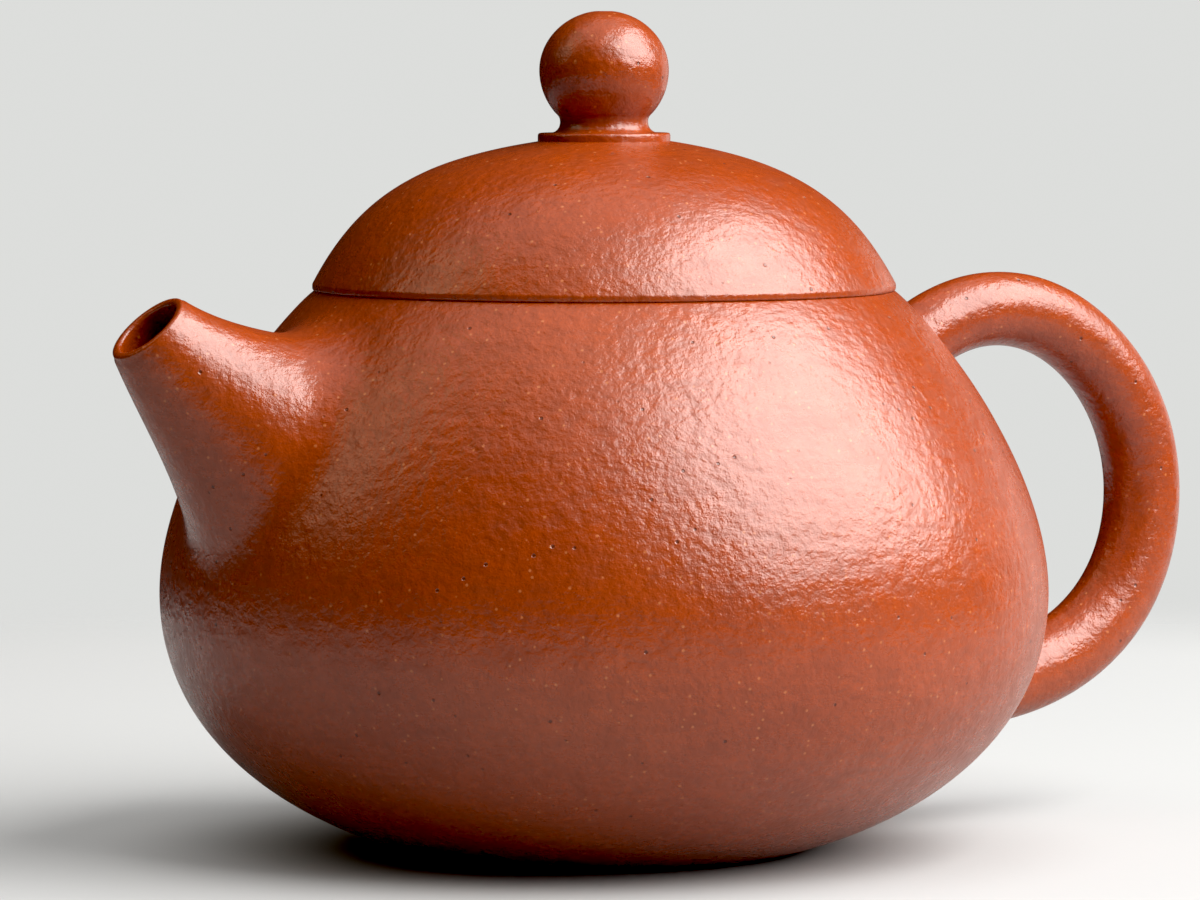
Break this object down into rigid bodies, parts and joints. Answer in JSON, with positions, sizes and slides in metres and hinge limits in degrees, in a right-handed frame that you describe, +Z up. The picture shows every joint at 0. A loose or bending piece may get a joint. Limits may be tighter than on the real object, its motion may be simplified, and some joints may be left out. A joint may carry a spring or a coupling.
{
  "type": "clay teapot",
  "caption": "Small round unglazed red clay teapot with a short tapered spout, a round bow handle and a loose domed lid with a ball knob.",
  "frame": {"origin": "middle of the base, on the surface that the pot stands on", "axes": "+Z up along the pot's axis, -X the way the spout points, +X the handle's side; the XZ plane is the plane of symmetry"},
  "size_m": [0.1163, 0.084, 0.079],
  "materials": {
    "pot_clay": "unglazed fired red clay, burnished to a soft satin, with fine sand showing",
    "lid_clay": "the same unglazed red clay as the pot, burnished",
    "inner_clay": "unglazed red clay, not burnished, matt"
  },
  "bodies": {
    "pot": {"base_disc": "pot_clay", "body_wall": "pot_clay", "shoulder_ring": "pot_clay", "mouth_ring": "pot_clay", "spout": "pot_clay", "strainer": "inner_clay", "handle": "pot_clay"},
    "lid": {"lid_dome": "lid_clay", "lid_seat_ring": "lid_clay", "lid_flange": "lid_clay", "knob_collar": "lid_clay", "knob": "lid_clay"}
  },
  "joints": [
    {"name": "lid_lift", "type": "slide", "parent": "pot", "child": "lid", "axis": [0, 0, 1], "range_m": [0, 0.06]}
  ]
}
